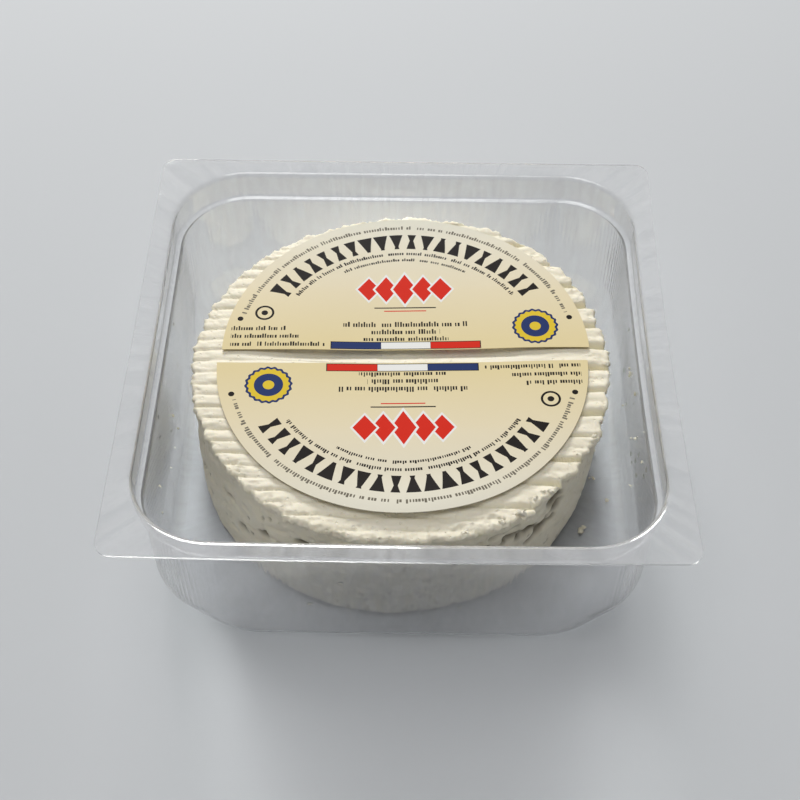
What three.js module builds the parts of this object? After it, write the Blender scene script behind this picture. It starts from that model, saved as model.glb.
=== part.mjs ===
// Fresh brillat-savarin in its clear thermoformed tray, with two half-round paper labels on top.
// Millimetres, +Z up. The tray's base is at z = 0, and x runs along the straight edges of the labels.
import * as THREE from "three";

// Tray: one clear sheet drawn down from a flat flange, with a stacking step below the rim.
const trayHalfX = 79.2; // half width at the flange's corners
const trayHalfY = 76.7; // half depth at the flange's back corners
const trayHeight = 56.0; // top of the flange above the table
const sheet = 0.7; // thickness of the drawn sheet
const flangeCorner = 4.5; // radius of the flange's outer corners
const flangeFlat = 4.4; // flat width of the flange
const rimFillet = 1.9; // radius where the flange turns down
const upperWallInset = 6.3; // upper wall, in from the flange's edge
const stepDrop = 9.8; // depth of the stacking step below the flange
const stepFillet = 0.85; // radius of both bends of the step
const lowerWallInset = 8.0; // lower wall just below the step
const bandInset = 8.4; // lower wall where its corners start to draw in
const bandHeight = 16.5; // height of that line above the table
const footInset = 9.0; // lower wall where it turns into the base
const footFillet = 3.5; // radius between wall and base
const openingCorner = 24.6; // corner radius of the opening
const footCornerGrowth = 11.5; // how much rounder the corners are at the base
const bowRight = 1.3; // how far the flange's right edge bends in at its middle
const bowLeft = 0.3; // the same at the left
const bowFront = 0.7; // how far the front edge bends out at its middle
const cornerSteps = 8; // segments per corner
const sideSteps = 5; // segments per straight side
const filletSteps = 2; // half the segments of each bend of the section

// Cheese: a low drum of fresh curd, its top marked by the draining mat.
const cheeseRadius = 62.6;
const cheeseBase = 1.0; // underside, just above the tray's floor
const cheeseTop = 44.6; // level of the ridges' crests
const topCentre = new THREE.Vector2(0, -0.1);
const footCentre = new THREE.Vector2(-2.1, 0.5); // the drum leans, so its foot sits to the left
const ridgePitch = 4.25; // spacing of the mat's ridges
const ridgeDepth = 1.3; // depth of the grooves between them
const topDish = 0.9; // how far the top has sunk in its middle
const dishRadius = 54;
const troughDepth = 1.7; // hollow in the top under the back label's straight edge
const troughReach = 44; // half length of the hollow
const troughWidth = 2.3;
const cheeseRows = 124; // rows of the top's mesh, along the ridges
const cheeseColumns = 6;
const frontWidth = 1.2; // half angle in degrees of the first and last row
const rimOverhang = 1.0; // how far the pressed rim stands out over the side

// Outline of the drum: angle in degrees, width of the bump in degrees, how far it stands out.
const lobes = [
  [52, 24, 2.0],
  [-12, 22, -0.9],
  [-66, 14, 1.1],
  [-112, 24, 0.5],
  [116, 16, -0.8],
];
// Torn crags of curd at the rim, in the same order.
const crags = [
  [1, 2.1, 0.9],
  [-24, 2.1, 1.2],
  [-37, 2.1, 0.8],
  [-55, 2.1, 1.3],
  [-61, 2.1, 0.9],
  [-119, 2.1, 0.8],
  [-141, 2.1, 0.7],
  [159, 2.1, 0.7],
];
// Slanting creases in the side: angle at the foot, angle at the rim, depth.
const creases = [
  [-42, -66, 1.1],
  [-52, -74, 0.8],
];
const creaseWidth = 2.6; // degrees

// Labels: two half-discs of paper with a strip of cheese bare between their straight edges.
const labelRadius = 55.3;
const paper = 0.35; // thickness of each label
const labelGap = 0.35; // gap between the crests and the paper
const labelTurn = THREE.MathUtils.degToRad(1.5); // how far the pair is turned on the cheese
const backLabelCentre = new THREE.Vector2(1.05, 5.25);
const frontLabelCentre = new THREE.Vector2(0.1, -0.05);
const curlHeight = 1.5; // how far the front label's lifted edge stands off the cheese
const labelColumns = 36;
const labelRows = 5;
const labelTip = 0.5; // width of the blunt tips at the ends of the straight edge

const { clamp, degToRad, radToDeg } = THREE.MathUtils;
const rise = (from, to, value) => THREE.MathUtils.smoothstep(value, from, to);
const fall = (from, to, value) => 1 - THREE.MathUtils.smoothstep(value, from, to);

// A smooth wave made of a few sines, each given as frequency and size.
function ripple(t, seed, waves) {
  return waves.reduce(
    (sum, [frequency, size]) => sum + size * Math.sin(frequency * (t + 2.3) + seed * 1.7),
    0,
  );
}

// A steady random value from 0 to 1 for a whole number.
function chance(n) {
  const v = Math.sin(n * 127.1 + 311.7) * 43758.5453;
  return v - Math.floor(v);
}

// A bell of height 1 round an angle in degrees.
function bell(angle, centre, width) {
  const away = Math.abs(THREE.MathUtils.euclideanModulo(angle - centre + 180, 360) - 180);
  return Math.exp(-((away / width) ** 2));
}

const sumOfBells = (angle, list) =>
  list.reduce((sum, [centre, width, size]) => sum + size * bell(angle, centre, width), 0);

// Moves every vertex of a geometry by a function of its place and its number.
function reshape(geometry, move) {
  const position = geometry.getAttribute("position");
  const point = new THREE.Vector3();
  for (let i = 0; i < position.count; i++) {
    point.fromBufferAttribute(position, i);
    move(point, i);
    position.setXYZ(i, point.x, point.y, point.z);
  }
  geometry.computeVertexNormals();
  return geometry;
}

// The tray's section from the middle of the underside, out and up the lower skin, round the
// flange's edge, and down the upper skin to the middle of the floor. x is the distance from the axis.
function traySection() {
  const at = (inset) => trayHalfX - inset;
  const ledge = trayHeight - stepDrop;
  const stepMiddle = (upperWallInset + lowerWallInset + 0.1) / 2;
  const footAxis = footInset + footFillet;
  const footTop = sheet + footFillet;
  const quarter = Math.PI / 2;
  const path = new THREE.Path();
  path.moveTo(0, 0);
  path.lineTo(at(footAxis), 0);
  path.absarc(at(footAxis), footTop, footFillet + sheet, -quarter, 0);
  path.lineTo(at(bandInset - sheet), bandHeight);
  path.lineTo(at(stepMiddle + stepFillet - sheet), ledge - stepFillet);
  path.absarc(at(stepMiddle), ledge - stepFillet, stepFillet - sheet, 2 * quarter, quarter, true);
  path.absarc(at(stepMiddle), ledge + stepFillet, stepFillet + sheet, -quarter, 0);
  path.lineTo(at(upperWallInset - sheet), trayHeight - rimFillet);
  path.absarc(at(flangeFlat), trayHeight - rimFillet, rimFillet - sheet, 2 * quarter, quarter, true);
  path.lineTo(at(0), trayHeight - sheet);
  path.lineTo(at(0), trayHeight);
  path.lineTo(at(flangeFlat), trayHeight);
  path.absarc(at(flangeFlat), trayHeight - rimFillet, rimFillet, quarter, 2 * quarter);
  path.lineTo(at(stepMiddle - stepFillet), ledge + stepFillet);
  path.absarc(at(stepMiddle), ledge + stepFillet, stepFillet, 0, -quarter, true);
  path.absarc(at(stepMiddle), ledge - stepFillet, stepFillet, quarter, 2 * quarter);
  path.lineTo(at(bandInset), bandHeight);
  path.lineTo(at(footInset), footTop);
  path.absarc(at(footAxis), footTop, footFillet, 0, -quarter, true);
  path.lineTo(0, sheet);
  const points = path.getPoints(filletSteps);
  return points.filter((p, i) => i === 0 || p.distanceTo(points[i - 1]) > 1e-4);
}

// Places a point of the section on a rounded rectangle, at one of the steps round the tray.
function roundTray(inset, z, step) {
  const onFlangeEdge = inset < flangeFlat / 2;
  const foot = footCornerGrowth * fall(sheet + 1, bandHeight, z);
  const corner = onFlangeEdge ? flangeCorner : openingCorner - (inset - flangeFlat) + foot;
  const halfX = trayHalfX - inset;
  const halfY = trayHalfY - inset;
  const perSide = cornerSteps + sideSteps;
  const side = Math.floor(step / perSide) % 4;
  const within = step % perSide;
  const quarter = Math.PI / 2;
  const signs = [
    [1, 1],
    [-1, 1],
    [-1, -1],
    [1, -1],
  ];
  const onArc = (k, angle) =>
    new THREE.Vector2(
      signs[k % 4][0] * (halfX - corner) + corner * Math.cos(angle),
      signs[k % 4][1] * (halfY - corner) + corner * Math.sin(angle),
    );
  const arcEnd = onArc(side, (side + 1) * quarter);
  const place =
    within <= cornerSteps
      ? onArc(side, (side + within / cornerSteps) * quarter)
      : arcEnd.lerp(onArc(side + 1, (side + 1) * quarter), (within - cornerSteps) / sideSteps);
  const bow = rise(bandHeight, trayHeight - 4, z);
  const alongX = clamp(place.x / halfX, -1, 1);
  const alongY = clamp(place.y / halfY, -1, 1);
  place.x -= bow * (place.x > 0 ? bowRight : bowLeft) * (1 - alongY ** 2) * alongX;
  if (place.y < 0) place.y += bow * bowFront * alongX ** 2 * -alongY;
  return place;
}

function trayGeometry() {
  const section = traySection();
  const steps = 4 * (cornerSteps + sideSteps);
  return reshape(new THREE.LatheGeometry(section, steps), (point, i) => {
    const { x, y } = section[i % section.length];
    const step = Math.floor(i / section.length) % steps;
    const place = roundTray(trayHalfX - x, y, step);
    if (x < 1e-6) place.set(0, 0);
    point.set(place.x, place.y, y);
  });
}

// Depth of the mat's grooves below the crests. The ridges run along x and are deeper at the rim.
function grooveDepth(x, y) {
  const wander = ripple(x * 0.045, 2, [
    [1, 0.35],
    [2.3, 0.2],
  ]);
  const phase = (y + wander) / ridgePitch;
  const ridge = Math.floor(phase);
  const wave = 0.5 + 0.5 * Math.cos(2 * Math.PI * phase);
  const everyOther = ridge % 2 === 0 ? 1 : 0.55;
  const patch = 0.75 + 0.5 * chance(ridge + (x > 0 ? 57 : 17));
  const nearRim = rise(0.7, 0.95, Math.hypot(x, y) / cheeseRadius);
  return ridgeDepth * wave ** 1.6 * everyOther * patch * (0.45 + 0.55 * nearRim);
}

// How far the top lies below its rim: a shallow dish, with a hollow along the back label's straight edge.
const dish = (x, y) => topDish * fall(0, dishRadius, Math.hypot(x, y));

function hollow(x, y) {
  const edge = backLabelCentre.y + (x - backLabelCentre.x) * Math.tan(labelTurn);
  const near = Math.exp(-(((y - edge) / troughWidth) ** 2));
  return troughDepth * near * fall(0.5, 1.15, Math.abs(x) / troughReach);
}

// How far the ridges' ends and the torn crags stand out at the rim.
function serration(angle, y) {
  const ends = rise(0.35, 0.8, Math.abs(Math.cos(angle)));
  const notch = 0.75 * (0.5 + 0.5 * Math.cos((2 * Math.PI * y) / ridgePitch));
  const ragged = ripple(angle, 8, [
    [23, 0.14],
    [41, 0.12],
  ]);
  return ragged + sumOfBells(radToDeg(angle), crags) - ends * notch;
}

// How far the side stands in from the rim. t is 0 at the foot and 1 at the top.
function sideInset(angle, t) {
  const degrees = radToDeg(angle);
  const overhang = rimOverhang + 0.6 * bell(degrees, -50, 25);
  const belly = 0.5 * Math.sin(Math.PI * t) ** 2;
  const uneven = ripple(angle, 9, [
    [5, 0.16],
    [11, 0.1],
    [29, 0.07],
  ]);
  const creased = creases.reduce((sum, [foot, rim, depth]) => {
    const at = foot + (rim - foot) * rise(0.35, 0.95, t);
    return sum + depth * bell(degrees, at, creaseWidth) * rise(0.25, 0.5, t) * fall(0.9, 1, t);
  }, 0);
  return overhang * fall(0.88, 0.97, t) - belly + uneven * fall(0.8, 1, t) + creased;
}

// Levels of the side from the foot up: share of the height, rounding of the edge.
const levels = [
  [0, 1.4],
  [0.05, 0.2],
  [0.26, 0],
  [0.52, 0],
  [0.75, 0],
  [0.89, 0],
  [0.95, 0],
  [0.985, 0.1],
  [1, 0.9],
];

// A point of the drum's side at an angle and a level.
function cheeseSide(angle, level) {
  const [t, rounding] = levels[level];
  const footRipple = ripple(angle, 6, [
    [3, 0.25],
    [8, 0.15],
  ]);
  const mouldRipple = ripple(angle, 4, [
    [7, 0.18],
    [13, 0.12],
  ]);
  const mould = sumOfBells(radToDeg(angle), lobes) + mouldRipple;
  const radius =
    cheeseRadius +
    footRipple * fall(0.1, 0.9, t) +
    mould * rise(0.1, 0.9, t) +
    serration(angle, cheeseRadius * Math.sin(angle)) * rise(0.86, 0.97, t) -
    sideInset(angle, t) -
    rounding;
  const centre = footCentre.clone().lerp(topCentre, t);
  const x = centre.x + radius * Math.cos(angle);
  const y = centre.y + radius * Math.sin(angle);
  const groove = grooveDepth(x, y) * rise(0.9, 1, t) * (level === levels.length - 1 ? 1 : 0.6);
  return new THREE.Vector3(x, y, cheeseBase + (cheeseTop - cheeseBase) * t - groove);
}

// Rows are spread evenly over the middle of the drum and closer together at its front and back.
function rowAngle(v) {
  const share = 1.1 * v + 0.3 * v ** 3 - 0.4 * v ** 5;
  const most = Math.sin(Math.PI / 2 - degToRad(frontWidth));
  return Math.asin(clamp(share, -most, most));
}

// A box of rows and columns, drawn out to the drum: its top keeps straight rows for the ridges.
function cheeseGeometry() {
  const last = levels.length - 1;
  const box = new THREE.BoxGeometry(2, 2, 1, cheeseColumns, cheeseRows, last);
  return reshape(box, (point) => {
    const level = Math.round((point.z + 0.5) * last);
    const angle = rowAngle(point.y);
    const right = cheeseSide(angle, level);
    const left = cheeseSide(Math.PI - angle, level);
    const across = 0.5 + 0.5 * Math.sign(point.x) * Math.abs(point.x) ** 0.4;
    const onRim = Math.abs(point.x) > 0.999;
    point.copy(left.lerp(right, across));
    if (level !== last || onRim) return;
    const { x, y } = point;
    point.z = cheeseTop - Math.max(grooveDepth(x, y), hollow(x, y)) - dish(x, y);
  });
}

const paperRipple = (x, seed) =>
  0.25 +
  ripple(x * 0.09, seed, [
    [1, 0.1],
    [2.1, 0.07],
  ]);

// The front label's round edge lifts off the cheese, y from its straight edge.
function frontCurl(x, y) {
  const arc = Math.hypot(x, y) / labelRadius;
  const lifted = rise(0.72, 1, arc) * bell(radToDeg(Math.atan2(y, x)), 92, 34);
  return curlHeight * lifted + paperRipple(x, 3);
}

const backCurl = (x) => paperRipple(x, 5);

// A half-disc on the x-y plane that follows the dish of the top from where the label will lie.
function labelGeometry(curl, centre, turn) {
  const box = new THREE.BoxGeometry(2, 2, 1, labelColumns, labelRows, 1);
  const origin = new THREE.Vector2();
  return reshape(box, (point) => {
    const angle = (Math.PI / 2) * (1 - point.x);
    const reach = Math.max(labelRadius * Math.sin(angle), labelTip);
    const x = labelRadius * Math.cos(angle);
    const y = reach * (0.5 + 0.5 * point.y);
    const onTop = new THREE.Vector2(x, y).rotateAround(origin, turn).add(centre);
    const underside = cheeseTop + labelGap + curl(x, y) - dish(onTop.x, onTop.y);
    point.set(x, y, underside + (point.z > 0 ? paper : 0));
  });
}

function addPiece(group, name, geometry, look) {
  const mesh = new THREE.Mesh(geometry, new THREE.MeshStandardMaterial(look));
  mesh.name = name;
  group.add(mesh);
  return mesh;
}

const clearSheet = { color: 0xdfe5ea, roughness: 0.1, metalness: 0, transparent: true, opacity: 0.35 };
const freshCurd = { color: 0xefe7d2, roughness: 0.6, metalness: 0 };
const creamPaper = { color: 0xdfd5b2, roughness: 0.5, metalness: 0 };

const brillatSavarin = new THREE.Group();
brillatSavarin.name = "brillat_savarin_in_tray";
addPiece(brillatSavarin, "tray", trayGeometry(), clearSheet);
addPiece(brillatSavarin, "cheese", cheeseGeometry(), freshCurd);

function addLabel(name, curl, centre, turn) {
  const label = addPiece(brillatSavarin, name, labelGeometry(curl, centre, turn), creamPaper);
  label.position.set(centre.x, centre.y, 0);
  label.rotation.z = turn;
}

addLabel("label_back", backCurl, backLabelCentre, labelTurn);
addLabel("label_front", frontCurl, frontLabelCentre, labelTurn + Math.PI);

export default brillatSavarin;
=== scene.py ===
import math
import random
import bpy
import numpy as np
from mathutils import Matrix, Vector, noise


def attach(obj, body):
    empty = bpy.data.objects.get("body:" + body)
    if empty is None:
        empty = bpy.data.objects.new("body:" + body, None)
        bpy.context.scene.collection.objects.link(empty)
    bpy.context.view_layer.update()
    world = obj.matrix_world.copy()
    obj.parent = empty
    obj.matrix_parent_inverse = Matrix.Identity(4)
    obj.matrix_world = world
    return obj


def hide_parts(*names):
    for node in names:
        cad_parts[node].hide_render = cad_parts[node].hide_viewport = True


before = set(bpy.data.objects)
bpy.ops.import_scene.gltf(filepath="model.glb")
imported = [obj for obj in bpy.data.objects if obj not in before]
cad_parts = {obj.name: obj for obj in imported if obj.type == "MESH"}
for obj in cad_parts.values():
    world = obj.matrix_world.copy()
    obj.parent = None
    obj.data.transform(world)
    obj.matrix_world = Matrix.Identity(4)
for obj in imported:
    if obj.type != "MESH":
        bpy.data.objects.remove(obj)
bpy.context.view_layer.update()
mm = 0.001  # lengths below are in millimetres, and the scene is in metres
quarter = math.pi / 2  # a quarter of a turn
wholeTurn = 4 * quarter


def linear(hexColour):  # sRGB hex to linear red, green, blue, alpha
    parts = [int(hexColour[i : i + 2], 16) / 255 for i in (1, 3, 5)]
    return [p / 12.92 if p <= 0.04045 else ((p + 0.055) / 1.055) ** 2.4 for p in parts] + [1.0]


def rise(start, end, value):  # smooth step from 0 to 1
    share = np.clip((value - start) / (end - start), 0, 1)
    return share * share * (3 - 2 * share)


def fall(start, end, value):  # smooth step from 1 to 0
    return 1 - rise(start, end, value)


def ripple(turn, seed, waves):  # a smooth wave made of a few sines, each given as frequency and size
    return sum(size * np.sin(frequency * (turn + 2.3) + seed * 1.7) for frequency, size in waves)


def chance(number):  # a steady random value from 0 to 1 for a whole number
    value = np.sin(number * 127.1 + 311.7) * 43758.5453
    return value - np.floor(value)


def bell(degrees, centre, width):  # a bell of height 1 round an angle
    away = np.abs((degrees - centre + 180) % 360 - 180)
    return np.exp(-((away / width) ** 2))


def sumOfBells(degrees, bells):  # each given as angle, width and height
    return sum(size * bell(degrees, centre, width) for centre, width, size in bells)


def cloud(place, scale, seed=0.0):  # smooth noise from -1 to 1 with features of about the scale in mm
    shifted = place / scale + seed
    return np.array([noise.noise(point) for point in shifted.tolist()])


def grains(place, scale, seed=0.0):  # distance to the nearest of scattered points, in the scale's unit
    shifted = place / scale + seed
    return np.array([noise.voronoi(point)[0][0] for point in shifted.tolist()])


def activate(piece):
    if bpy.context.mode != "OBJECT":
        bpy.ops.object.mode_set(mode="OBJECT")
    bpy.ops.object.select_all(action="DESELECT")
    piece.select_set(True)
    bpy.context.view_layer.objects.active = piece


def startEditing(piece):
    activate(piece)
    bpy.ops.object.mode_set(mode="EDIT")
    bpy.ops.mesh.select_all(action="SELECT")


def stopEditing():
    bpy.ops.object.mode_set(mode="OBJECT")


def finishWith(piece, kind, **settings):  # adds a modifier and applies it
    activate(piece)
    modifier = piece.modifiers.new(kind.lower(), kind)
    for name, value in settings.items():
        setattr(modifier, name, value)
    bpy.ops.object.modifier_apply(modifier=modifier.name)


def turnUpwards(piece):  # makes an open sheet's faces point up where it is highest
    startEditing(piece)
    bpy.ops.mesh.normals_make_consistent(inside=False)
    stopEditing()
    highest = max(piece.data.polygons, key=lambda face: face.center.z)
    if highest.normal.z < 0:
        startEditing(piece)
        bpy.ops.mesh.flip_normals()
        stopEditing()


def joinPieces(bits, name):
    bpy.ops.object.select_all(action="DESELECT")
    for bit in bits:
        bit.select_set(True)
    bpy.context.view_layer.objects.active = bits[0]
    bpy.ops.object.transform_apply(location=True, rotation=True, scale=True)
    bpy.ops.object.join()
    piece = bpy.context.object
    piece.name = name
    return piece


def getPlaces(piece):  # places of all vertices, in mm
    flat = np.empty(len(piece.data.vertices) * 3, np.float32)
    piece.data.vertices.foreach_get("co", flat)
    return flat.reshape(-1, 3).astype(float) / mm


def setPlaces(piece, places):
    piece.data.vertices.foreach_set("co", (places * mm).astype(np.float32).ravel())
    piece.data.update()


def store(piece, name, kind, values):  # keeps one value or vector for each vertex
    attribute = piece.data.attributes.new(name, kind, "POINT")
    field = "value" if kind == "FLOAT" else "vector"
    attribute.data.foreach_set(field, np.asarray(values, np.float32).ravel())


def arc(centre, radius, start, end, steps):  # points of an arc in the section's plane, angles in degrees
    turns = [math.radians(start + (end - start) * i / steps) for i in range(steps + 1)]
    return [(centre[0] + radius * math.cos(t), centre[1] + radius * math.sin(t)) for t in turns]


def spinProfile(name, profile, steps):  # draws a profile from its first point and spins it round the z axis
    bpy.ops.object.select_all(action="DESELECT")
    start = Vector((profile[0][0], 0, profile[0][1])) * mm
    bpy.ops.mesh.primitive_plane_add(size=mm, location=start)
    piece = bpy.context.object
    piece.name = name
    bpy.ops.object.transform_apply(location=True)
    startEditing(piece)
    bpy.ops.mesh.merge(type="CENTER")
    for (r0, z0), (r1, z1) in zip(profile, profile[1:]):
        step = ((r1 - r0) * mm, 0, (z1 - z0) * mm)
        bpy.ops.mesh.extrude_region_move(TRANSFORM_OT_translate={"value": step})
    stopEditing()
    finishWith(piece, "SCREW", angle=wholeTurn, steps=steps, render_steps=steps)
    startEditing(piece)
    bpy.ops.mesh.remove_doubles(threshold=0.002 * mm)
    bpy.ops.mesh.normals_make_consistent(inside=False)
    stopEditing()
    return piece


def addNode(tree, kind, *values, named=None, **settings):  # adds, sets and links one node
    node = tree.nodes.new(kind if kind.startswith("Node") else "ShaderNode" + kind)
    for name, value in settings.items():
        setattr(node, name, value)
    for name, value in [*enumerate(values), *(named or {}).items()]:
        if isinstance(value, bpy.types.Node):
            value = value.outputs[0]
        if isinstance(value, bpy.types.NodeSocket):
            tree.links.new(value, node.inputs[name])
        elif value is not None:
            node.inputs[name].default_value = value
    return node


def newMaterial(name):
    material = bpy.data.materials.new(name)
    material.use_nodes = True
    material.node_tree.nodes.clear()
    return material, material.node_tree


def dress(piece, material):
    piece.data.materials.clear()
    piece.data.materials.append(material)
    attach(piece, "root")


view = {
    "place": (2.26, -262.67, 354.69),
    "down": 51.29,  # degrees below the horizon
    "turn": -0.62,  # degrees to the right
    "roll": 0.30,
    "lens": 61.1,
    "sensor": 36,
    "nearest": 10,  # nothing closer to the camera is drawn
}

studio = {  # places and sizes in metres
    "floor": "#C7CACE",
    "floorSize": 4,
    "world": "#EDECEA",
    "worldStrength": 0.37,
    "aim": (0, 0, 0.03),
    "key": {"place": (-0.2, 1.28, 0.8), "size": (0.42, 0.4), "watts": 16.0, "colour": "#FFFEFA"},
    "top": {"place": (-0.15, -0.05, 1.3), "size": (0.6, 0.6), "watts": 4.5, "colour": "#FFFFFF"},
}


def makeCamera():
    down, turn, roll = (math.radians(view[name]) for name in ("down", "turn", "roll"))
    ahead = Vector((math.sin(turn) * math.cos(down), math.cos(turn) * math.cos(down), -math.sin(down)))
    level = Vector((math.cos(turn), -math.sin(turn), 0))
    upright = level.cross(ahead)
    right = level * math.cos(roll) + upright * math.sin(roll)
    up = upright * math.cos(roll) - level * math.sin(roll)
    data = bpy.data.cameras.new("camera")
    data.lens = view["lens"]
    data.sensor_width = view["sensor"]
    data.clip_start = view["nearest"] * mm
    camera = bpy.data.objects.new("camera", data)
    bpy.context.scene.collection.objects.link(camera)
    turned = Matrix((right, up, -ahead)).transposed().to_4x4()
    camera.matrix_world = Matrix.Translation(Vector(view["place"]) * mm) @ turned
    bpy.context.scene.camera = camera


def makeLight(name):
    values = studio[name]
    data = bpy.data.lights.new(name, "AREA")
    data.shape = "RECTANGLE"
    data.size, data.size_y = values["size"]
    data.energy = values["watts"]
    data.color = linear(values["colour"])[:3]
    light = bpy.data.objects.new(name, data)
    bpy.context.scene.collection.objects.link(light)
    light.location = values["place"]
    ahead = Vector(studio["aim"]) - light.location
    light.rotation_euler = ahead.to_track_quat("-Z", "Y").to_euler()


def paintedBoard():
    # matt board, painted: plain and pale, with soft shadows and no mirror image
    material, tree = newMaterial("matt board, painted")
    paint = addNode(tree, "BsdfPrincipled", linear(studio["floor"]), named={"Roughness": 0.85})
    addNode(tree, "OutputMaterial", paint)
    return material


def makeStudio():
    for name in ("key", "top"):
        makeLight(name)
    world = bpy.data.worlds.new("studio")
    bpy.context.scene.world = world
    world.use_nodes = True
    background = world.node_tree.nodes["Background"]
    background.inputs["Color"].default_value = linear(studio["world"])
    background.inputs["Strength"].default_value = studio["worldStrength"]
    bpy.ops.object.select_all(action="DESELECT")
    bpy.ops.mesh.primitive_plane_add(size=studio["floorSize"])
    floor = bpy.context.object
    floor.name = "floor"
    floor.data.materials.append(paintedBoard())
    bpy.context.scene.view_settings.view_transform = "Standard"


makeCamera()
makeStudio()
print("camera and studio ready")


tray = {
    "halfX": 79.2,
    "halfY": 76.7,
    "height": 56.0,
    "sheet": 0.7,
    "flangeCorner": 4.5,
    "flangeFlat": 4.4,
    "flangeEdge": 1.1,  # the flange's outermost strip
    "flangeSag": 0.5,  # the flange dips a little towards the opening
    "rimFillet": 1.9,
    "upperWallInset": 6.3,
    "stepDrop": 9.8,
    "stepFillet": 0.85,
    "lowerWallInset": 8.0,
    "bandInset": 8.4,
    "bandHeight": 16.5,
    "footInset": 9.0,
    "footFillet": 3.5,
    "openingCorner": 24.6,
    "footCornerGrowth": 11.5,
    "bowRight": 1.3,  # how far the walls bow inwards at the top
    "bowLeft": 0.3,
    "bowFront": 0.7,
    "steps": 1440,  # round the tray, four for each flute
    "cornerShare": 0.25,  # of a quarter of the outline
    "fluteDepth": 0.13,
    "fluteTop": 44.5,
    "tint": "#ECEDEF",
    "shadowTint": "#EDEEEE",
    "roughness": 0.06,
    "ior": 1.57,
    "clearest": 0.86,  # share of the light that passes clear, the rest is milky
    "haziest": 0.76,
    "streaks": 32.0,  # milky streaks for each radian round the tray
    "waveSize": 14,
    "waveDepth": 0.4,
}


def traySkin():  # the upper skin's section, from the flange's edge to the middle of the floor
    def at(inset):
        return tray["halfX"] - inset

    height, ledge = tray["height"], tray["height"] - tray["stepDrop"]
    stepMiddle = (tray["upperWallInset"] + tray["lowerWallInset"] + 0.1) / 2
    bend, foot = tray["stepFillet"], tray["footFillet"]
    footAxis, footTop = tray["footInset"] + foot, tray["sheet"] + foot
    band = tray["bandHeight"]
    besideFold = 2.5  # keeps the wall straight beside its folds
    slope = abs((ledge - bend - band) / (tray["lowerWallInset"] - tray["bandInset"]))
    profile = [(at(0), height), (at(tray["flangeEdge"]), height)]
    profile += arc((at(tray["flangeFlat"]), height - tray["rimFillet"]), tray["rimFillet"], 90, 180, 5)
    profile += arc((at(stepMiddle), ledge + bend), bend, 0, -90, 3)
    profile += arc((at(stepMiddle), ledge - bend), bend, 90, 180, 3)[1:]
    for z in (ledge - bend - besideFold, (ledge + band) / 2, band + besideFold, band):
        profile.append((at(tray["lowerWallInset"] + (ledge - bend - z) / slope), z))
    profile.append((at(tray["bandInset"] + 0.1), band - 2))
    profile += arc((at(footAxis), footTop), foot, 0, -90, 5)
    profile += [(40, tray["sheet"]), (0, tray["sheet"])]
    return profile


def flutes(step, y, z):  # fine upright waves in the wall, uneven round the tray and calm at its back
    lowest, highest = tray["bandHeight"], tray["fluteTop"]
    fluted = rise(lowest - 1, lowest + 4, z) * fall(highest - 3.5, highest, z)
    uneven = 0.55 + 0.45 * np.sin(step * 0.021 + 1.3) * np.sin(step * 0.0127)
    calm = 0.25 + 0.75 * fall(0, 55, y)
    return tray["fluteDepth"] * fluted * uneven * calm * np.cos(step * quarter)


def roundTray(place):  # lays the spun skin out on the tray's rounded rectangle
    x, y, z = place.T
    reach = np.hypot(x, y)
    inset = tray["halfX"] - reach
    floorInset = tray["footInset"] + tray["footFillet"]
    shrink = np.where(inset > floorInset, reach / (tray["halfX"] - floorInset), 1.0)
    step = np.round((np.arctan2(y, x) % wholeTurn) / wholeTurn * tray["steps"])
    inset = np.minimum(inset, floorInset) + flutes(step, y, z)
    perSide = tray["steps"] / 4
    side = np.floor(step / perSide).astype(int) % 4
    within = (step % perSide) / perSide
    growth = tray["footCornerGrowth"] * fall(tray["sheet"] + 1, tray["bandHeight"], z)
    inner = tray["openingCorner"] - (inset - tray["flangeFlat"]) + growth
    corner = np.where(inset < tray["flangeFlat"] / 2, tray["flangeCorner"], inner)
    halfX, halfY = tray["halfX"] - inset, tray["halfY"] - inset
    signX, signY = np.array([1, -1, -1, 1]), np.array([1, 1, -1, -1])

    def onArc(k, angle):
        return np.array([
            signX[k % 4] * (halfX - corner) + corner * np.cos(angle),
            signY[k % 4] * (halfY - corner) + corner * np.sin(angle),
        ])

    share = tray["cornerShare"]
    inCorner = np.clip(within / share, 0, 1)
    alongSide = np.clip((within - share) / (1 - share), 0, 1)
    turned = onArc(side, (side + inCorner) * quarter)
    nextArc = onArc(side + 1, (side + 1) * quarter)
    placeX, placeY = (turned + (nextArc - turned) * alongSide) * shrink
    bow = rise(tray["bandHeight"], tray["height"] - 4, z)
    alongX, alongY = np.clip(placeX / halfX, -1, 1), np.clip(placeY / halfY, -1, 1)
    sideBow = np.where(placeX > 0, tray["bowRight"], tray["bowLeft"])
    placeX = placeX - bow * sideBow * (1 - alongY**2) * alongX
    placeY = placeY + np.where(placeY < 0, bow * tray["bowFront"] * alongX**2 * -alongY, 0)
    sagStart = 1.2
    dip = np.clip((inset - sagStart) / (tray["flangeFlat"] - sagStart), 0, 1) ** 2
    return np.column_stack([placeX, placeY, z - tray["flangeSag"] * dip * rise(50, 54, z)])


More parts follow.
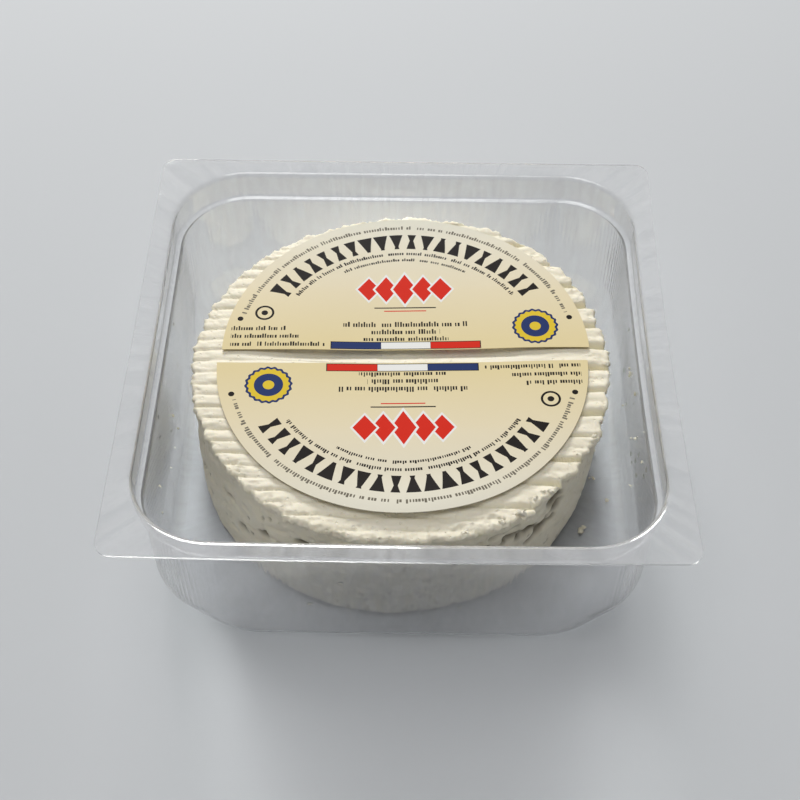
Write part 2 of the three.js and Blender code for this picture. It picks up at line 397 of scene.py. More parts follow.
def petSheet():
    # clear PET, thermoformed: bright edges and folds, a slight grey tint, milky streaks where the sheet
    # was drawn, soft waves in what it mirrors, and a pale shadow, since it lets the lamps' light through
    material, tree = newMaterial("clear PET, thermoformed")
    place = addNode(tree, "TexCoord").outputs["Object"]
    size = tray["waveSize"] * mm
    waves = addNode(tree, "TexNoise", named={"Vector": place, "Scale": 1 / size, "Detail": 2.0})
    depth = tray["waveDepth"] * mm
    bump = addNode(tree, "Bump", named={"Strength": 0.5, "Distance": depth, "Height": waves.outputs["Fac"]})
    x, y, z = addNode(tree, "SeparateXYZ", place).outputs[:3]
    turn = addNode(tree, "Math", y, x, operation="ARCTAN2")
    height = addNode(tree, "Math", z, 2.0, operation="MULTIPLY")
    drawn = addNode(tree, "CombineXYZ", turn, height, 0.0)
    streaks = addNode(tree, "TexNoise", named={"Vector": drawn, "Scale": tray["streaks"], "Detail": 3.0})
    clear = addNode(tree, "MapRange", streaks.outputs["Fac"], 0.35, 0.7, tray["clearest"], tray["haziest"])
    film = addNode(tree, "BsdfPrincipled", linear(tray["tint"]), named={
        "Transmission Weight": clear, "Roughness": tray["roughness"], "IOR": tray["ior"], "Normal": bump,
    })
    passing = addNode(tree, "BsdfTransparent", linear(tray["shadowTint"]))
    lampRay = addNode(tree, "LightPath").outputs["Is Shadow Ray"]
    addNode(tree, "OutputMaterial", addNode(tree, "MixShader", lampRay, film, passing))
    return material


def makeTray():
    piece = spinProfile("clear_tray", traySkin(), tray["steps"])
    setPlaces(piece, roundTray(getPlaces(piece)))
    turnUpwards(piece)
    finishWith(piece, "SOLIDIFY", thickness=tray["sheet"] * mm, offset=-1)
    activate(piece)
    bpy.ops.object.shade_smooth_by_angle(angle=math.radians(50))
    dress(piece, petSheet())
    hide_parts("tray")
    return piece


clearTray = makeTray()
print("tray ready")


curd = {
    "radius": 62.6,
    "base": 1.0,
    "top": 44.6,
    "topCentre": (0, -0.1),
    "footCentre": (-2.1, 0.5),  # the drum leans, so its foot sits to the left
    "steps": 760,
    "sideRing": 0.66,  # height of the side's rings
    "topRing": 0.6,  # width of the top's rings near the rim
    "fineRim": 16,  # how far in from the rim they reach
    "middleRings": 22,
    "levels": [  # share of the height, and how far the rounded edge lies inwards there
        (0, 1.4), (0.05, 0.2), (0.26, 0), (0.95, 0), (0.985, 0.05), (1, 0.4),
    ],
    "lobes": [  # bulges of the outline: angle and width in degrees, and how far they stand out
        (52, 24, 2.0), (-12, 22, -0.9), (-66, 14, 1.1), (-112, 24, 0.5), (116, 16, -0.8),
    ],
    "crags": [  # torn bits of the rim, given in the same way
        (1, 2.1, 0.9), (-24, 2.1, 1.2), (-37, 2.1, 0.8), (-55, 2.1, 1.3),
        (-61, 2.1, 0.9), (-119, 2.1, 0.8), (-141, 2.1, 0.7), (159, 2.1, 0.7),
    ],
    "overhang": 1.0,  # how far the rim stands out over the side
    "overhangs": [(-50, 25, 0.6)],  # more of it at the front right
    "belly": 0.5,
    "ridgePitch": 4.25,
    "ridgeDepth": 1.3,
    "grooveWidth": 0.42,  # half width at the left
    "deepGroove": 1.15,  # every other groove at the right, as a share of ridgeDepth
    "shallowGroove": 0.16,
    "leftGroove": (0.35, 0.3),  # least share at the left, and how much more by chance
    "notch": 0.6,  # between the ridges' ends
    "dish": 0.9,
    "dishRadius": 54,
    "hollow": 1.7,  # hollow under the back label's straight edge
    "hollowReach": 44,
    "hollowWidth": 2.3,
    "hollowCentre": (1.05, 5.25),
    "hollowTurn": math.radians(1.5),
    # holes and cracks in the side, from end to end: angle and share of the height at each end, half
    # width and depth
    "tears": [
        (-42.3, 0.77, -43.8, 0.76, 1.8, 4.0), (-40.9, 0.66, -42.4, 0.65, 1.5, 3.4),
        (-138.6, 0.39, -137, 0.39, 1.2, 1.8), (-129.2, 0.56, -128, 0.56, 1.1, 1.8),
        (-116.4, 0.71, -115, 0.71, 1.3, 2.0), (-42.9, 0.55, -52.9, 0.5, 1.0, 3.0),
        (-51.3, 0.64, -56.5, 0.64, 1.1, 2.8), (-46.5, 0.6, -49, 0.59, 1.5, 2.4),
        (-57, 0.7, -61, 0.72, 1.0, 2.2), (-97, 0.45, -95, 0.45, 0.6, 1.2),
        (-80, 0.36, -78, 0.36, 0.6, 1.0), (-57, 0.79, -66, 0.8, 0.5, 1.0),
        (-146, 0.6, -141, 0.62, 0.5, 1.0),
    ],
    "colours": ("#EBE3CC", "#F2ECDB"),
    # painted shade: a darker, yellower colour laid into the grooves by their depth
    "grooveShadeColour": "#E0D8B4",
    # painted shade: a dark brown colour that stands in for the shade inside the holes and tears
    "pitShadeColour": "#685F4B",
    "blotch": 9,  # sizes of the pattern
    "grain": 0.8,
    "pore": 2.1,
    "bumpDepth": 0.28,
}
drumHeight = curd["top"] - curd["base"]


def grooveDepth(x, y):  # the mat's grooves: narrow, every other one deep, deepest at the right rim
    flat = np.column_stack([x, y, x * 0])
    wander = ripple(x * 0.045, 2, [(1, 0.35), (2.3, 0.2)]) + cloud(flat, 9.0, 2.5) * 0.6
    phase = (y + wander) / curd["ridgePitch"]
    ridge = np.round(phase)  # the numbers added to it below only pick other random values
    away = np.abs(phase - ridge) * curd["ridgePitch"]
    crest = 2.1  # just under half the pitch
    toRight = rise(5, 42, x)
    wide = curd["grooveWidth"] + (0.1 + 0.45 * chance(ridge + 7)) * toRight
    groove = np.exp(-((away / wide) ** 2)) + 0.08 * rise(0.2, crest, crest - away)
    least, more = curd["leftGroove"]
    right = np.where(ridge % 2 == 0, curd["deepGroove"], curd["shallowGroove"]) * toRight
    deep = right + (least + more * chance(ridge + 31)) * (1 - toRight)
    patch = 0.65 + 0.6 * chance(ridge + np.where(x > 0, 57, 17)) + cloud(flat, 10.0, 6.1) * 0.8
    place = 1 - 0.3 * rise(30, 50, -y)
    nearRim = rise(0.7, 0.95, np.hypot(x, y) / curd["radius"])
    return curd["ridgeDepth"] * groove * deep * np.clip(patch, 0.12, 1.5) * place * (0.45 + 0.65 * nearRim)


def dishDepth(x, y):
    return curd["dish"] * fall(0, curd["dishRadius"], np.hypot(x, y))


def hollowDepth(x, y):
    edge = curd["hollowCentre"][1] + (x - curd["hollowCentre"][0]) * math.tan(curd["hollowTurn"])
    near = np.exp(-(((y - edge) / curd["hollowWidth"]) ** 2))
    return curd["hollow"] * near * fall(0.5, 1.15, np.abs(x) / curd["hollowReach"])


def serration(angle, y):  # ridge ends and torn crags at the rim
    rim = curd["radius"] * np.column_stack([np.cos(angle), np.sin(angle), angle * 0])
    ends = rise(0.35, 0.8, np.abs(np.cos(angle)))
    notch = curd["notch"] * (0.5 + 0.5 * np.cos(wholeTurn * y / (2 * curd["ridgePitch"]))) ** 3
    ragged = cloud(rim, 4.4, 3.3) * 0.7 + cloud(rim, 1.7, 8.1) * 0.7
    crags = sumOfBells(np.degrees(angle), curd["crags"])
    return ragged + crags - ends * notch * rise(-0.2, 0.2, np.cos(angle))


def sideInset(angle, t):  # how far the side lies inside the rim, t being the share of the height
    overhang = curd["overhang"] + sumOfBells(np.degrees(angle), curd["overhangs"])
    belly = curd["belly"] * np.sin(math.pi * t) ** 2
    uneven = ripple(angle, 9, [(5, 0.16), (11, 0.1), (29, 0.07)])
    return overhang * fall(0.88, 0.97, t) - belly + uneven * fall(0.8, 1, t)


def drumRadius(angle, t):  # the outline at a share of the height
    rounding = np.interp(t, *zip(*curd["levels"]))
    footRipple = ripple(angle, 6, [(3, 0.25), (8, 0.15)])
    mould = sumOfBells(np.degrees(angle), curd["lobes"]) + ripple(angle, 4, [(7, 0.18), (13, 0.12)])
    return (
        curd["radius"]
        + footRipple * fall(0.1, 0.9, t)
        + mould * rise(0.1, 0.9, t)
        + serration(angle, curd["radius"] * np.sin(angle)) * rise(0.86, 0.97, t)
        - sideInset(angle, t)
        - rounding
    )


def curdProfile():  # an even drum: foot, side, fine rings near the rim, wider ones to the middle of the top
    radius, ring, count = curd["radius"], curd["sideRing"], curd["middleRings"]
    foot = [(0, 0), (30, 0), (52, 0), (60, 0)]
    side = [i * ring for i in range(int(drumHeight / ring))] + [drumHeight]
    top = [radius - curd["topRing"] * (i + 1) for i in range(int(curd["fineRim"] / curd["topRing"]))]
    top += [top[-1] * (1 - (i + 1) / count) for i in range(count)]
    return foot + [(radius, z) for z in side] + [(r, drumHeight) for r in top]


def pressCurd(place):  # gives the even drum its lean, outline, grooves, dish and hollow
    x, y, z = place.T
    angle = np.arctan2(y, x)
    share = np.hypot(x, y) / curd["radius"]
    t = z / drumHeight
    almostOne = 0.9999  # leaves room for rounding
    isTop = t > almostOne
    radius = drumRadius(angle, t) * np.minimum(share, 1)
    foot, top = np.array(curd["footCentre"]), np.array(curd["topCentre"])
    centre = foot[:, None] + (top - foot)[:, None] * t
    newX, newY = centre[0] + radius * np.cos(angle), centre[1] + radius * np.sin(angle)
    groove = grooveDepth(newX, newY) * rise(0.9, 1, t) * np.where(isTop, 1, 0.6)
    dished = np.maximum(groove, hollowDepth(newX, newY)) + dishDepth(newX, newY)
    sunk = np.where(isTop & (share < almostOne), dished, groove)
    return np.column_stack([newX, newY, curd["base"] + drumHeight * t - sunk])


def pits(place):  # where the side's small holes lie, from 0 to 1
    small = fall(0.12, 0.3, grains(place * [1, 1, 0.9], 3.1, 2.2)) * rise(-0.15, 0.3, cloud(place, 11, 4.4))
    large = fall(0.12, 0.26, grains(place * [1, 1, 1.4], 6.3, 5.7)) * rise(-0.1, 0.2, cloud(place, 16, 1.4))
    return np.maximum(small * 0.7, large)


def tearDepth(place):  # each tear is a short trough along the side
    x, y, z = place.T
    around, up = np.arctan2(y, x) * curd["radius"], z - curd["base"]
    depth = 0
    for startTurn, startLevel, endTurn, endLevel, half, deep in curd["tears"]:
        start = np.array([math.radians(startTurn) * curd["radius"], startLevel * drumHeight])
        step = np.array([math.radians(endTurn) * curd["radius"], endLevel * drumHeight]) - start
        share = np.clip(((around - start[0]) * step[0] + (up - start[1]) * step[1]) / (step @ step), 0, 1)
        away = np.hypot(around - start[0] - share * step[0], up - start[1] - share * step[1])
        depth = depth + deep * np.exp(-((away / half) ** 2))
    return depth


def roughenCurd(place):  # crumbly rim, streaks along the ridges, pits and tears in the side
    x, y, z = place.T
    level = (z - curd["base"]) / drumHeight
    reach = np.hypot(x, y) / curd["radius"]
    outward = place * [1, 1, 0] / np.maximum(np.hypot(x, y), 1)[:, None]
    # how much of the rim, the side and the top a place belongs to
    rim = rise(0.84, 0.94, level) * rise(0.91, 0.975, reach)
    side = rise(0.02, 0.08, level) * fall(0.88, 0.95, level)
    top = rise(0.93, 0.97, level) * fall(0.96, 0.99, reach)
    # how deep each kind of roughness is, in mm
    crumb = cloud(place * [0.5, 1, 1], 1.5) * 0.42 + cloud(place, 0.9, 7.3) * 0.62
    crack = fall(0.02, 0.2, np.abs(cloud(place * [0.28, 1, 1], 2.1, 4.7)))
    crack = crack * rise(-0.2, 0.3, cloud(place, 6.0, 2.9)) * (0.6 + 0.4 * rise(-30, 25, x))
    streak = cloud(place * [0.16, 1, 1], 1.3, 3.1) * 0.12 + cloud(place, 3.2, 5.7) * 0.14
    coarse = cloud(place, 7.0, 1.9) * 0.4 + cloud(place, 2.0, 8.8) * 0.28
    torn = rise(0.5, 0.85, cloud(place * [1, 1, 2.2], 5.0, 9.1) + 0.45)
    push = rim * (crumb - 0.4 * crack) + side * (coarse - 1.1 * pits(place) - 0.5 * torn) - tearDepth(place)
    lift = top * streak + rim * rise(0.95, 1, level) * crumb * 0.45
    lift = lift - 0.42 * crack * rise(0.9, 0.96, level) * rise(0.86, 0.92, reach)
    return place + outward * push[:, None] + np.column_stack([x * 0, y * 0, lift])


def freshCurd():
    # fresh curd, drained and pressed on a mat: ivory, moist and matt, faintly see-through, with painted
    # shade that makes its grooves darker and yellower and its little holes and tears dark
    material, tree = newMaterial("fresh curd, drained on a mat")
    place = addNode(tree, "TexCoord").outputs["Object"]
    blotchScale, grainScale, poreScale = (1 / (curd[name] * mm) for name in ("blotch", "grain", "pore"))
    blotch = addNode(tree, "TexNoise", named={"Vector": place, "Scale": blotchScale, "Detail": 4.0})
    grain = addNode(tree, "TexNoise", named={"Vector": place, "Scale": grainScale, "Detail": 3.0})
    pores = addNode(tree, "TexVoronoi", named={"Vector": place, "Scale": poreScale}, feature="F1")
    dark, light = (linear(colour) for colour in curd["colours"])
    coloured = addNode(tree, "Mix", blotch.outputs["Fac"], data_type="RGBA", named={6: dark, 7: light})
    # painted shade: the groove and hole attributes mix in the darker colours
    for name, colour in (("groove", curd["grooveShadeColour"]), ("pitShade", curd["pitShadeColour"])):
        deep = addNode(tree, "Attribute", attribute_name=name).outputs["Fac"]
        under = coloured.outputs[2]
        coloured = addNode(tree, "Mix", deep, data_type="RGBA", named={6: under, 7: linear(colour)})
    porous = addNode(tree, "MapRange", pores.outputs["Distance"], 0.05, 0.22, 0.0, 1.0)
    height = addNode(tree, "Math", grain.outputs["Fac"], 0.5, operation="MULTIPLY")
    height = addNode(tree, "Math", height, porous, operation="ADD")
    depth = curd["bumpDepth"] * mm
    bump = addNode(tree, "Bump", named={"Strength": 0.7, "Distance": depth, "Height": height})
    body = addNode(tree, "BsdfPrincipled", coloured.outputs[2], named={
        "Normal": bump, "Roughness": 0.55, "IOR": 1.45,
        "Subsurface Weight": 0.2, "Subsurface Scale": 1.2 * mm, "Subsurface Radius": (1.0, 0.8, 0.5),
    })
    addNode(tree, "OutputMaterial", body)
    return material


def makeCheese():
    piece = spinProfile("fresh_cheese", curdProfile(), curd["steps"])
    setPlaces(piece, pressCurd(getPlaces(piece)))
    setPlaces(piece, roughenCurd(getPlaces(piece)))
    place = getPlaces(piece)
    x, y, z = place.T
    # painted shade: the grooves are coloured darker and yellower by their depth, and this stops at the rim
    onTop = rise(curd["top"] - 3.4, curd["top"] - 2.6, z)  # the groove's colour ends at the rim
    groove = np.clip(grooveDepth(x, y) / curd["ridgeDepth"], 0, 1) * onTop
    store(piece, "groove", "FLOAT", groove**1.3 * 0.7)
    # painted shade: the side's holes are darkened up to near the rim, and the tears are darkened by their
    # depth
    holeShade = pits(place) * fall(0.8, 0.88, z / curd["top"]) * 0.85 + tearDepth(place) * 0.6
    store(piece, "pitShade", "FLOAT", np.clip(holeShade, 0, 1))
    activate(piece)
    bpy.ops.object.shade_smooth()
    dress(piece, freshCurd())
    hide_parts("cheese")
    return piece


cheese = makeCheese()
print("cheese ready")


crumbs = {
    "seed": 11,
    "rim": 16,  # scattered round the front and right rim
    "loose": 2,  # fallen on the tray's floor
    "walls": 16,  # specks on the tray's side walls
    "size": (0.3, 0.65),  # radii
    "speck": (0.2, 0.42),
    # large ones: place on the top and radius
    "large": [
        (33.8, -53.2, 1.0), (28.5, -57.0, 0.9), (51.3, -39.4, 0.8), (56.0, -30.2, 0.8), (61.6, 0.2, 1.0),
    ],
    "lumps": 4,  # that each large one is made of
}
insideWall = 60  # how far from the middle a bit starts on its way to the tray's wall


def dropOnto(target, x, y):  # height of the first surface under a place, looked for from 200 mm up
    hit, place = target.ray_cast(Vector((x, y, 200)) * mm, Vector((0, 0, -1)))[:2]
    return place.z / mm if hit else None


def crumbSpots():  # where each crumb sits, and its radius
    draw = random.Random(crumbs["seed"])
    flat = []
    for x, y, radius in crumbs["large"]:
        for _ in range(crumbs["lumps"]):
            besideX, besideY = draw.uniform(-0.8, 0.8), draw.uniform(-0.8, 0.8)
            flat.append((x + besideX, y + besideY, radius * draw.uniform(0.4, 0.9)))
    for _ in range(crumbs["rim"]):
        turn = math.radians(draw.gauss(-60, 45))
        reach = curd["radius"] - abs(draw.gauss(0.6, 1.2))
        flat.append((reach * math.cos(turn), reach * math.sin(turn), draw.uniform(*crumbs["size"])))
    for _ in range(crumbs["loose"]):
        turn = math.radians(draw.uniform(180, 360))
        reach = draw.uniform(65, 68)
        flat.append((reach * math.cos(turn), reach * math.sin(turn), draw.uniform(*crumbs["size"])))
    spots = []
    for x, y, radius in flat:
        height = dropOnto(cheese, x, y)
        if height is None or height < 20:  # it missed the top, so it lies on the tray's floor
            height = dropOnto(clearTray, x, y) + 0.5 + radius * 0.8
        spots.append((Vector((x, y, height + radius * 0.1)) * mm, radius))
    for _ in range(crumbs["walls"]):
        side = draw.choice([-1, 1, 1])
        start = Vector((side * insideWall, draw.uniform(-40, 10), draw.uniform(12, 44))) * mm
        spots.append((clearTray.ray_cast(start, Vector((side, 0, 0)))[1], draw.uniform(*crumbs["speck"])))
    return spots


def makeCrumbs():
    bits = []
    for centre, radius in crumbSpots():
        bpy.ops.object.select_all(action="DESELECT")
        bpy.ops.mesh.primitive_ico_sphere_add(subdivisions=3, radius=radius * mm, location=centre)
        bits.append(bpy.context.object)
    piece = joinPieces(bits, "curd_crumbs")
    place = getPlaces(piece)
    lumps = np.column_stack([cloud(place, 0.9, seed) for seed in (3.1, 6.7, 9.9)])
    fine = np.column_stack([cloud(place, 0.35, seed) for seed in (1.1, 2.7, 5.9)])
    setPlaces(piece, place + lumps * 0.75 + fine * 0.2)
    for name in ("groove", "pitShade"):
        store(piece, name, "FLOAT", np.zeros(len(place)))
    activate(piece)
    bpy.ops.object.shade_smooth()
    dress(piece, cheese.data.materials[0])


makeCrumbs()
print("crumbs ready")


drops = {
    "seed": 5,
    "walls": 22,
    "front": 0.2,  # share of them on the front wall, the others are on the side walls
    "size": (0.4, 0.9),  # radii
    "flat": 0.4,  # height as a share of the radius
    "tint": "#F7F6EC",
}


def wheyDrop():
    # whey: thin, clear and faintly yellow, with a wet shine
    material, tree = newMaterial("whey, clear drops")
    tint = linear(drops["tint"])
    wet = {"Transmission Weight": 1.0, "Roughness": 0.03, "IOR": 1.34}
    drop = addNode(tree, "BsdfPrincipled", tint, named=wet)
    passing = addNode(tree, "BsdfTransparent", tint)
    lampRay = addNode(tree, "LightPath").outputs["Is Shadow Ray"]
    addNode(tree, "OutputMaterial", addNode(tree, "MixShader", lampRay, drop, passing))
    return material


def makeDrops():
    draw = random.Random(drops["seed"])
    bits = []
    for _ in range(drops["walls"]):
        side = draw.choice([-1, 1, 1])
        height, along = draw.uniform(17, 43), draw.uniform(-0.7, 0.35)
        start = Vector((side * insideWall, along * insideWall, height)) * mm
        ahead = Vector((side, 0, 0))
        if draw.random() < drops["front"]:
            start = Vector((draw.uniform(-25, 25), -65, height)) * mm
            ahead = Vector((0, -1, 0))
        place, normal = clearTray.ray_cast(start, ahead)[1:3]
        radius = draw.uniform(*drops["size"]) * mm
        bpy.ops.object.select_all(action="DESELECT")
        bpy.ops.mesh.primitive_uv_sphere_add(segments=20, ring_count=10, radius=radius)
        bit = bpy.context.object
        startEditing(bit)
        bpy.ops.transform.resize(value=(1, draw.uniform(0.8, 1.3), drops["flat"]))
        stopEditing()
        bit.matrix_world = Matrix.Translation(place) @ normal.to_track_quat("Z", "Y").to_matrix().to_4x4()
        bits.append(bit)
    piece = joinPieces(bits, "whey_drops")
    bpy.ops.object.shade_smooth()
    dress(piece, wheyDrop())


makeDrops()
print("drops ready")


labels = {
    "radius": 55.3,
    "turn": curd["hollowTurn"],
    "backCentre": curd["hollowCentre"],
    "frontCentre": (0.1, -0.05),
    "paper": 0.22,
    "gap": 0.42,  # between the ridges' crests and the underside
    "curl": 1.5,  # how far the front label's round edge lifts
    "curlAt": (92, 34),  # angle and width of the lifted stretch
    "tip": 0.5,  # least height of the label at its two ends
    "columns": 150,
    "rows": 46,
    # colours and where they lie, as heights over the straight edge
    "edge": "#E3D3A5",
    "middle": "#E6DABC",
    "arc": "#E1DDCE",
    "toMiddle": (3.0, 26.0),
    "toArc": (24.0, 52.0),
    "inks": {
        "black": "#150E0C",
        "grey": "#6F695C",
        "blue": "#1B3168",
        "red": "#D62208",
        "white": "#ECECEA",
        "yellow": "#E0C233",
    },
    # lines of small blocks: left and right end, height over the edge, height, pitch, seed
    "straightLines": [
        (-19.0, 19.0, 9.2, 2.0, 0.8, 3), (-10.5, 10.5, 6.3, 1.9, 0.8, 4), (-13.0, 13.0, 3.6, 1.7, 0.8, 5),
        (-53.0, -36.5, 7.6, 1.7, 0.76, 11), (-53.0, -32.5, 4.5, 1.7, 0.76, 12),
        (-53.0, -24.5, 1.3, 1.7, 0.76, 13),
    ],
    # along the arc: ink, radius, half length in degrees, height, pitch, seed
    "archedLines": [
        ("black", 39.3, 57, 1.4, 0.72, 21), ("black", 36.6, 31, 1.2, 0.7, 22),
        ("grey", 50.8, 74, 1.5, 0.86, 23),
    ],
    "lineGaps": 0.12,  # share of a line that is left empty
    "frieze": (42.0, 48.3, 4.5, 45.0),  # inner and outer radius, pitch and half length
    "dots": [(-50.5, 12.3, 0.9), (50.3, 12.1, 0.9), (-43.2, 14.7, 1.0)],  # place and radius
    "ring": (-43.2, 14.7, 2.6, 0.35),  # place, radius and half width
    # ink, middle and half sizes
    "bars": [
        ("black", 0, 16.9, 9.5, 0.22), ("red", 0, 15.6, 6.5, 0.2), ("black", 0, 1.75, 22.75, 1.5),
        ("blue", -15, 1.75, 7.45, 1.25), ("white", 0, 1.75, 7.45, 1.25), ("red", 15, 1.75, 7.45, 1.25),
    ],
    # place along the edge and half sizes
    "lozenges": [(-11.2, 3.5, 4.6), (-5.8, 3.5, 5.2), (0, 3.7, 6.2), (5.8, 3.5, 5.2), (11.2, 3.5, 4.6)],
    "lozengeHeight": 24.6,
    "lozengeOutline": 1.22,  # its size as a share of the lozenge's
    # place, radius, number and depth of the petals, and width of the border
    "rosette": (39.6, 8.5, 6.9, 20.0, 0.22, 0.8),
    "rosetteRing": (3.0, 1.3),  # radius and half width
}


def paperRipple(x, seed):
    return 0.25 + ripple(x * 0.09, seed, [(1, 0.1), (2.1, 0.07)])


def frontCurl(x, y):  # the round edge lifts off the cheese
    reach = np.hypot(x, y) / labels["radius"]
    lifted = rise(0.72, 1, reach) * bell(np.degrees(np.arctan2(y, x)), *labels["curlAt"])
    return labels["curl"] * lifted + paperRipple(x, 3)


def backCurl(x, y):
    return paperRipple(x, 5)


def makeLineGroup():  # a line of small upright blocks with chance gaps, centred on Along = 0
    group = bpy.data.node_groups.new("blockLine", "ShaderNodeTree")
    for name in ("Along", "Across", "Half", "Height", "Pitch", "Seed", "Gaps"):
        group.interface.new_socket(name, in_out="INPUT", socket_type="NodeSocketFloat")
    group.interface.new_socket("Ink", in_out="OUTPUT", socket_type="NodeSocketFloat")
    given = addNode(group, "NodeGroupInput").outputs
    cells = addNode(group, "Math", given["Along"], given["Pitch"], operation="DIVIDE")
    index = addNode(group, "Math", cells, operation="FLOOR")
    part = addNode(group, "Math", cells, operation="FRACT")
    key = addNode(group, "CombineXYZ", index, given["Seed"], 0.0)
    noisy = addNode(group, "TexWhiteNoise", key, noise_dimensions="2D")
    drawn = addNode(group, "SeparateColor", noisy.outputs["Color"]).outputs
    filled = addNode(group, "Math", drawn["Red"], given["Gaps"], operation="GREATER_THAN")
    wide = addNode(group, "Math", drawn["Green"], 0.34, 0.46, operation="MULTIPLY_ADD")
    block = addNode(group, "Math", part, wide, operation="LESS_THAN")
    high = addNode(group, "Math", drawn["Blue"], 0.72, operation="GREATER_THAN")
    share = addNode(group, "Math", high, 0.3, 0.7, operation="MULTIPLY_ADD")
    top = addNode(group, "Math", share, given["Height"], operation="MULTIPLY")
    below = addNode(group, "Math", given["Across"], top, operation="LESS_THAN")
    above = addNode(group, "Math", given["Across"], 0.0, operation="GREATER_THAN")
    within = addNode(group, "Math", given["Along"], 0.0, given["Half"], operation="COMPARE")
    ink = filled
    for mask in (block, below, above, within):
        ink = addNode(group, "Math", ink, mask, operation="MULTIPLY")
    addNode(group, "NodeGroupOutput", ink)
    return group


def printLines(tree, x, y, reach, turn):  # straight and arched lines of small blocks
    lineGroup = makeLineGroup()
    shapes = []
    for left, right, base, *sizes in labels["straightLines"]:
        along = addNode(tree, "Math", x, (left + right) / 2, operation="SUBTRACT")
        across = addNode(tree, "Math", y, base, operation="SUBTRACT")
        values = [(right - left) / 2, *sizes, labels["lineGaps"]]
        shapes.append(("black", addNode(tree, "Group", along, across, *values, node_tree=lineGroup)))
    for ink, radius, degrees, *sizes in labels["archedLines"]:
        along = addNode(tree, "Math", turn, radius, operation="MULTIPLY")
        across = addNode(tree, "Math", reach, radius, operation="SUBTRACT")
        values = [radius * math.radians(degrees), *sizes, labels["lineGaps"]]
        shapes.append((ink, addNode(tree, "Group", along, across, *values, node_tree=lineGroup)))
    return shapes


def printFrieze(tree, reach, turn):  # black triangles and hourglasses along the arc
    inner, outer, pitch, half = labels["frieze"]
    cells = addNode(tree, "Math", turn, inner / pitch, operation="MULTIPLY")
    index = addNode(tree, "Math", cells, operation="FLOOR")
    part = addNode(tree, "Math", cells, operation="FRACT")
    fromMiddle = addNode(tree, "Math", part, 0.5, operation="SUBTRACT")
    fromMiddle = addNode(tree, "Math", fromMiddle, operation="ABSOLUTE")
    level = addNode(tree, "MapRange", reach, inner, outer, 0.0, 1.0, clamp=False)
    waist = addNode(tree, "TexWhiteNoise", named={"W": index}, noise_dimensions="1D").outputs["Value"]
    fromWaist = addNode(tree, "Math", level, waist, operation="SUBTRACT")
    fromWaist = addNode(tree, "Math", fromWaist, operation="ABSOLUTE")
    wide = addNode(tree, "Math", fromWaist, 0.36, 0.12, operation="MULTIPLY_ADD")
    shape = addNode(tree, "Math", fromMiddle, wide, operation="LESS_THAN")
    upright = addNode(tree, "Math", level, 0.5, 0.5, operation="COMPARE")
    shape = addNode(tree, "Math", shape, upright, operation="MULTIPLY")
    sideways = addNode(tree, "Math", turn, 0.0, half / inner, operation="COMPARE")
    return [("black", addNode(tree, "Math", shape, sideways, operation="MULTIPLY"))]


def printDots(tree, place):
    shapes = []
    for dotX, dotY, radius in labels["dots"]:
        away = addNode(tree, "VectorMath", place, (dotX, dotY, 0), operation="DISTANCE").outputs["Value"]
        shapes.append(("black", addNode(tree, "Math", away, radius, operation="LESS_THAN")))
    ringX, ringY, radius, half = labels["ring"]
    away = addNode(tree, "VectorMath", place, (ringX, ringY, 0), operation="DISTANCE").outputs["Value"]
    shapes.append(("black", addNode(tree, "Math", away, radius, half, operation="COMPARE")))
    return shapes


def printBars(tree, x, y):
    shapes = []
    for ink, centreX, centreY, halfX, halfY in labels["bars"]:
        sideways = addNode(tree, "Math", x, centreX, halfX, operation="COMPARE")
        upright = addNode(tree, "Math", y, centreY, halfY, operation="COMPARE")
        shapes.append((ink, addNode(tree, "Math", sideways, upright, operation="MULTIPLY")))
    return shapes


def printLozenges(tree, x, y):  # a red frieze with pale outlines
    shapes = []
    for centreX, halfX, halfY in labels["lozenges"]:
        sideways = addNode(tree, "Math", x, centreX, operation="SUBTRACT")
        sideways = addNode(tree, "Math", sideways, operation="ABSOLUTE")
        sideways = addNode(tree, "Math", sideways, 1 / halfX, operation="MULTIPLY")
        upright = addNode(tree, "Math", y, labels["lozengeHeight"], operation="SUBTRACT")
        upright = addNode(tree, "Math", upright, operation="ABSOLUTE")
        share = addNode(tree, "Math", upright, 1 / halfY, sideways, operation="MULTIPLY_ADD")
        for ink, size in (("white", labels["lozengeOutline"]), ("red", 1.0)):
            shapes.append((ink, addNode(tree, "Math", share, size, operation="LESS_THAN")))
    return shapes


def printRosette(tree, place, x, y):  # a blue rosette with a yellow middle and a blue ring
    centreX, centreY, radius, count, depth, border = labels["rosette"]
    fromX = addNode(tree, "Math", x, centreX, operation="SUBTRACT")
    fromY = addNode(tree, "Math", y, centreY, operation="SUBTRACT")
    petals = addNode(tree, "Math", fromY, fromX, operation="ARCTAN2")
    petals = addNode(tree, "Math", petals, count, operation="MULTIPLY")
    petals = addNode(tree, "Math", petals, operation="SINE")
    outline = addNode(tree, "Math", petals, depth, radius, operation="MULTIPLY_ADD")
    inside = addNode(tree, "Math", outline, border, operation="SUBTRACT")
    away = addNode(tree, "VectorMath", place, (centreX, centreY, 0), operation="DISTANCE").outputs["Value"]
    return [
        ("blue", addNode(tree, "Math", away, outline, operation="LESS_THAN")),
        ("yellow", addNode(tree, "Math", away, inside, operation="LESS_THAN")),
        ("blue", addNode(tree, "Math", away, *labels["rosetteRing"], operation="COMPARE")),
    ]


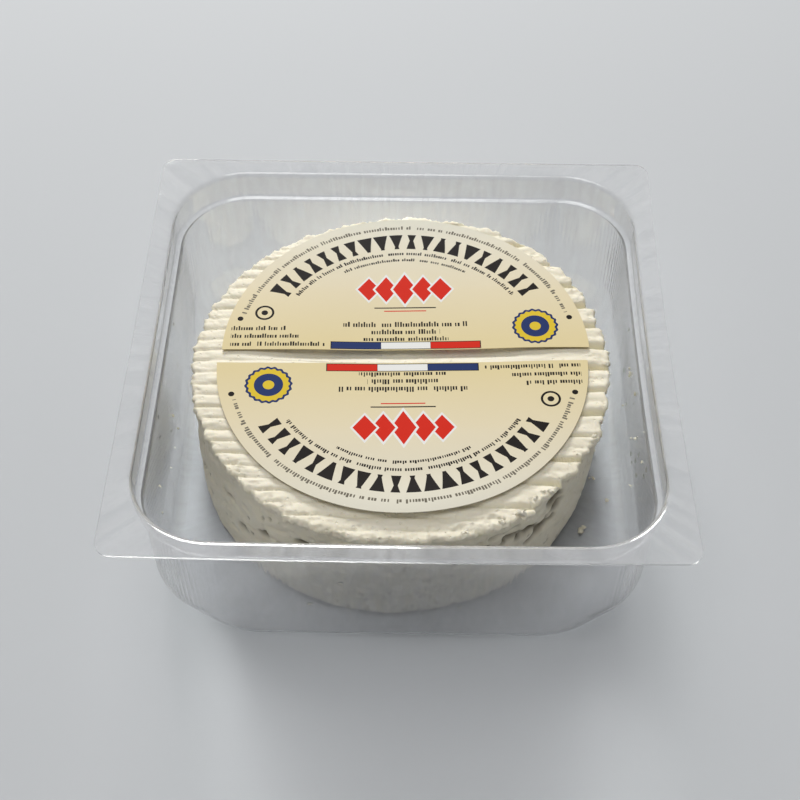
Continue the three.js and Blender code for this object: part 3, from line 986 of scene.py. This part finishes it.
def printedPaper():
    # coated paper, offset printed: smooth and semi-matt, cream at the straight edge and paler at the arc,
    # with flat, dense inks
    material, tree = newMaterial("coated paper, offset printed")
    place = addNode(tree, "Attribute", attribute_name="printPlace").outputs["Vector"]  # in mm
    x, y = addNode(tree, "SeparateXYZ", place).outputs[:2]
    reach = addNode(tree, "VectorMath", place, operation="LENGTH").outputs["Value"]
    turn = addNode(tree, "Math", x, y, operation="ARCTAN2")  # from the middle of the arc to the right
    colour = linear(labels["edge"])
    for name, heights in (("middle", labels["toMiddle"]), ("arc", labels["toArc"])):
        share = addNode(tree, "MapRange", y, *heights, 0.0, 1.0)
        ends = {6: colour, 7: linear(labels[name])}
        colour = addNode(tree, "Mix", share, data_type="RGBA", named=ends).outputs[2]
    shapes = printLines(tree, x, y, reach, turn) + printFrieze(tree, reach, turn)
    shapes += printDots(tree, place) + printBars(tree, x, y)
    shapes += printLozenges(tree, x, y) + printRosette(tree, place, x, y)
    for ink, mask in shapes:  # each shape's ink goes over the ones before it
        ends = {6: colour, 7: linear(labels["inks"][ink])}
        colour = addNode(tree, "Mix", mask, data_type="RGBA", named=ends).outputs[2]
    # the paper's fibres are finer than this, and are drawn coarse enough to show
    pulp = addNode(tree, "TexNoise", named={"Vector": place, "Scale": 0.35, "Detail": 3.0})
    relief = {"Strength": 0.1, "Distance": 0.2 * mm, "Height": pulp.outputs["Fac"]}
    bump = addNode(tree, "Bump", named=relief)
    finish = {"Normal": bump, "Roughness": 0.6, "Specular IOR Level": 0.12}
    addNode(tree, "OutputMaterial", addNode(tree, "BsdfPrincipled", colour, named=finish))
    return material


def makeLabel(name, node, curl, centre, turn, material):
    bpy.ops.object.select_all(action="DESELECT")
    columns, rows = labels["columns"], labels["rows"]
    bpy.ops.mesh.primitive_grid_add(x_subdivisions=columns, y_subdivisions=rows, size=2 * mm)
    piece = bpy.context.object
    piece.name = name
    acrossShare, upShare = getPlaces(piece).T[:2]  # from -1 to 1, since the grid is 2 mm wide
    angle = quarter * (1 - acrossShare)
    x = labels["radius"] * np.cos(angle)
    y = np.maximum(labels["radius"] * np.sin(angle), labels["tip"]) * (0.5 + 0.5 * upShare)
    placeX = centre[0] + x * math.cos(turn) - y * math.sin(turn)
    placeY = centre[1] + x * math.sin(turn) + y * math.cos(turn)
    z = curd["top"] + labels["gap"] + curl(x, y) - dishDepth(placeX, placeY)
    setPlaces(piece, np.column_stack([placeX, placeY, z]))
    store(piece, "printPlace", "FLOAT_VECTOR", np.column_stack([x, y, x * 0]))
    turnUpwards(piece)
    finishWith(piece, "SOLIDIFY", thickness=labels["paper"] * mm, offset=1)
    activate(piece)
    bpy.ops.object.shade_smooth_by_angle(angle=math.radians(40))
    dress(piece, material)
    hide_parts(node)


paper = printedPaper()
makeLabel("back_label", "label_back", backCurl, labels["backCentre"], labels["turn"], paper)
makeLabel("front_label", "label_front", frontCurl, labels["frontCentre"], labels["turn"] + math.pi, paper)
print("labels ready")
